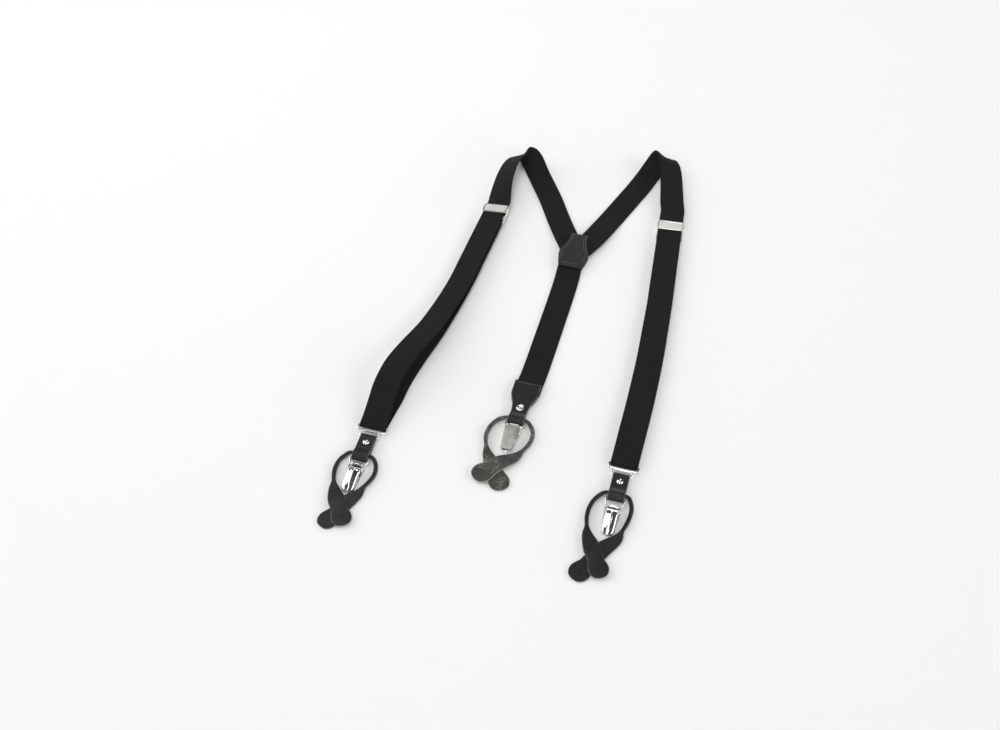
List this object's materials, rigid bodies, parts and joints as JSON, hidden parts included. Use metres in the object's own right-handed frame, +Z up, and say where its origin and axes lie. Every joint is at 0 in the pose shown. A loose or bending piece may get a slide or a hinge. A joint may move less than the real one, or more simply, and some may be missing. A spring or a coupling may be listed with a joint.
{
  "type": "suspenders",
  "caption": "Webbing suspenders with a leather back patch, sliding adjusters, and lever clips and button runners on leather tabs at each end.",
  "frame": {"origin": "centre of the underside of the back patch, on the surface the suspenders lie on", "axes": "+Y along the rear strap from its clip to the back patch and the shoulders; +Z up from the surface; +X to the wearer's left as seen from the front face"},
  "size_m": [0.2679, 0.5426, 0.024],
  "materials": {
    "webbing": "black ribbed elastic webbing",
    "smooth_leather": "black smooth leather, semi-matt",
    "suede_leather": "dark grey flesh side of the leather",
    "polished_nickel": "polished nickel plate",
    "satin_nickel": "satin nickel plate",
    "grip_plastic": "black moulded plastic"
  },
  "bodies": {
    "webbing": {"back_patch_under": "suede_leather", "back_patch_top": "smooth_leather", "rear_strap": "webbing", "left_back_leg": "webbing", "right_back_leg": "webbing", "left_front_strap": "webbing", "right_front_strap": "webbing", "rear_leather_tab": "smooth_leather", "rear_rivet_cap": "polished_nickel", "rear_rivet_washer": "polished_nickel"},
    "left_slider": {"left_slider_frame": "satin_nickel", "left_slider_pin": "polished_nickel", "left_strap_sewn_end": "webbing"},
    "left_flap": {"left_slider_flap": "polished_nickel"},
    "left_loop": {"left_strap_turn": "webbing", "left_strap_return": "webbing"},
    "left_ring": {"left_strap_ring": "polished_nickel"},
    "left_tab": {"left_leather_tab": "smooth_leather", "left_rivet_cap": "polished_nickel", "left_rivet_washer": "polished_nickel"},
    "left_bail": {"left_clip_bail": "polished_nickel"},
    "left_clip": {"left_clip_back_plate": "satin_nickel", "left_clip_pin": "polished_nickel", "left_clip_grip_pad": "grip_plastic"},
    "left_lever": {"left_clip_lever": "polished_nickel"},
    "left_jaw": {"left_clip_jaw": "polished_nickel"},
    "left_runner": {"left_button_runner": "smooth_leather"},
    "right_slider": {"right_slider_frame": "satin_nickel", "right_slider_pin": "polished_nickel", "right_strap_sewn_end": "webbing"},
    "right_flap": {"right_slider_flap": "polished_nickel"},
    "right_loop": {"right_strap_turn": "webbing", "right_strap_return": "webbing"},
    "right_ring": {"right_strap_ring": "polished_nickel"},
    "right_tab": {"right_leather_tab": "smooth_leather", "right_rivet_cap": "polished_nickel", "right_rivet_washer": "polished_nickel"},
    "right_bail": {"right_clip_bail": "polished_nickel"},
    "right_clip": {"right_clip_back_plate": "satin_nickel", "right_clip_pin": "polished_nickel", "right_clip_grip_pad": "grip_plastic"},
    "right_lever": {"right_clip_lever": "polished_nickel"},
    "right_jaw": {"right_clip_jaw": "polished_nickel"},
    "right_runner": {"right_button_runner": "smooth_leather"},
    "rear_bail": {"rear_clip_bail": "polished_nickel"},
    "rear_clip": {"rear_clip_back_plate": "satin_nickel", "rear_clip_pin": "polished_nickel", "rear_clip_grip_pad": "grip_plastic"},
    "rear_lever": {"rear_clip_lever": "polished_nickel"},
    "rear_jaw": {"rear_clip_jaw": "polished_nickel"},
    "rear_runner": {"rear_button_runner": "suede_leather"}
  },
  "joints": [
    {"name": "left_slider_slide", "type": "slide", "parent": "webbing", "child": "left_slider", "axis": [-0.0579, -0.9983, 0], "range_m": [0, 0.07], "deforming": ["left_strap_return"]},
    {"name": "left_slider_flap_hinge", "type": "hinge", "parent": "left_slider", "child": "left_flap", "pos_m": [-0.09365, 0.03657, 0.00496], "axis": [0.9832, -0.057, 0.1736], "range_deg": [0, 95]},
    {"name": "left_loop_slide", "type": "slide", "parent": "webbing", "child": "left_loop", "axis": [-0.0579, -0.9983, 0], "range_m": [0, 0.035]},
    {"name": "left_ring_hinge", "type": "hinge", "parent": "left_loop", "child": "left_ring", "pos_m": [-0.1266, -0.2674, 0.0032], "axis": [-1, 0, 0], "range_deg": [-30, 40]},
    {"name": "left_tab_hinge", "type": "hinge", "parent": "left_ring", "child": "left_tab", "pos_m": [-0.1266, -0.28, 0.0032], "axis": [-1, 0, 0], "range_deg": [-30, 35]},
    {"name": "left_bail_hinge", "type": "hinge", "parent": "left_tab", "child": "left_bail", "pos_m": [-0.1266, -0.3035, 0.0033], "axis": [-1, 0, 0], "range_deg": [-30, 35]},
    {"name": "left_clip_hinge", "type": "hinge", "parent": "left_bail", "child": "left_clip", "pos_m": [-0.1266, -0.311, 0.0025], "axis": [-1, 0, 0], "range_deg": [-30, 25]},
    {"name": "left_lever_hinge", "type": "hinge", "parent": "left_clip", "child": "left_lever", "pos_m": [-0.1266, -0.3162, 0.0046], "axis": [-1, 0, 0], "range_deg": [0, 75]},
    {"name": "left_jaw_hinge", "type": "hinge", "parent": "left_clip", "child": "left_jaw", "pos_m": [-0.1266, -0.3147, 0.00285], "axis": [-1, 0, 0], "range_deg": [0, 6]},
    {"name": "left_runner_hinge", "type": "hinge", "parent": "left_tab", "child": "left_runner", "pos_m": [-0.1266, -0.3002, 0.0036], "axis": [-1, 0, 0], "range_deg": [-30, 35]},
    {"name": "right_slider_slide", "type": "slide", "parent": "webbing", "child": "right_slider", "axis": [0.0837, -0.9965, 0], "range_m": [0, 0.07], "deforming": ["right_strap_return"]},
    {"name": "right_slider_flap_hinge", "type": "hinge", "parent": "right_slider", "child": "right_flap", "pos_m": [0.08865, 0.06239, 0.00275], "axis": [0.9965, 0.0837, 0], "range_deg": [0, 95]},
    {"name": "right_loop_slide", "type": "slide", "parent": "webbing", "child": "right_loop", "axis": [0.0837, -0.9965, 0], "range_m": [0, 0.035]},
    {"name": "right_ring_hinge", "type": "hinge", "parent": "right_loop", "child": "right_ring", "pos_m": [0.1037, -0.2477, 0.0032], "axis": [-1, 0, 0], "range_deg": [-30, 40]},
    {"name": "right_tab_hinge", "type": "hinge", "parent": "right_ring", "child": "right_tab", "pos_m": [0.1037, -0.2603, 0.0032], "axis": [-1, 0, 0], "range_deg": [-30, 35]},
    {"name": "right_bail_hinge", "type": "hinge", "parent": "right_tab", "child": "right_bail", "pos_m": [0.1037, -0.2838, 0.0033], "axis": [-1, 0, 0], "range_deg": [-30, 35]},
    {"name": "right_clip_hinge", "type": "hinge", "parent": "right_bail", "child": "right_clip", "pos_m": [0.1037, -0.2931, 0.0025], "axis": [-1, 0, 0], "range_deg": [-30, 25]},
    {"name": "right_lever_hinge", "type": "hinge", "parent": "right_clip", "child": "right_lever", "pos_m": [0.1037, -0.2983, 0.0046], "axis": [-1, 0, 0], "range_deg": [0, 75]},
    {"name": "right_jaw_hinge", "type": "hinge", "parent": "right_clip", "child": "right_jaw", "pos_m": [0.1037, -0.2968, 0.00285], "axis": [-1, 0, 0], "range_deg": [0, 6]},
    {"name": "right_runner_hinge", "type": "hinge", "parent": "right_tab", "child": "right_runner", "pos_m": [0.1037, -0.2805, 0.0036], "axis": [-1, 0, 0], "range_deg": [-30, 35]},
    {"name": "rear_bail_hinge", "type": "hinge", "parent": "webbing", "child": "rear_bail", "pos_m": [-0.0023, -0.228, 0.0033], "axis": [-1, 0, 0], "range_deg": [-30, 35]},
    {"name": "rear_clip_hinge", "type": "hinge", "parent": "rear_bail", "child": "rear_clip", "pos_m": [-0.0023, -0.2349, 0.0063], "axis": [-1, 0, 0], "range_deg": [-30, 25]},
    {"name": "rear_lever_hinge", "type": "hinge", "parent": "rear_clip", "child": "rear_lever", "pos_m": [-0.0023, -0.2401, 0.0042], "axis": [1, 0, 0], "range_deg": [0, 75]},
    {"name": "rear_jaw_hinge", "type": "hinge", "parent": "rear_clip", "child": "rear_jaw", "pos_m": [-0.0023, -0.2386, 0.00595], "axis": [1, 0, 0], "range_deg": [0, 6]},
    {"name": "rear_runner_hinge", "type": "hinge", "parent": "webbing", "child": "rear_runner", "pos_m": [-0.0023, -0.2247, 0.0036], "axis": [-1, 0, 0], "range_deg": [-30, 35]}
  ],
  "couplings": [
    {"joint": "left_loop_slide", "follows": "left_slider_slide", "ratio": 0.5},
    {"joint": "left_jaw_hinge", "follows": "left_lever_hinge", "ratio": 0.08},
    {"joint": "right_loop_slide", "follows": "right_slider_slide", "ratio": 0.5},
    {"joint": "right_jaw_hinge", "follows": "right_lever_hinge", "ratio": 0.08},
    {"joint": "rear_jaw_hinge", "follows": "rear_lever_hinge", "ratio": 0.08}
  ]
}
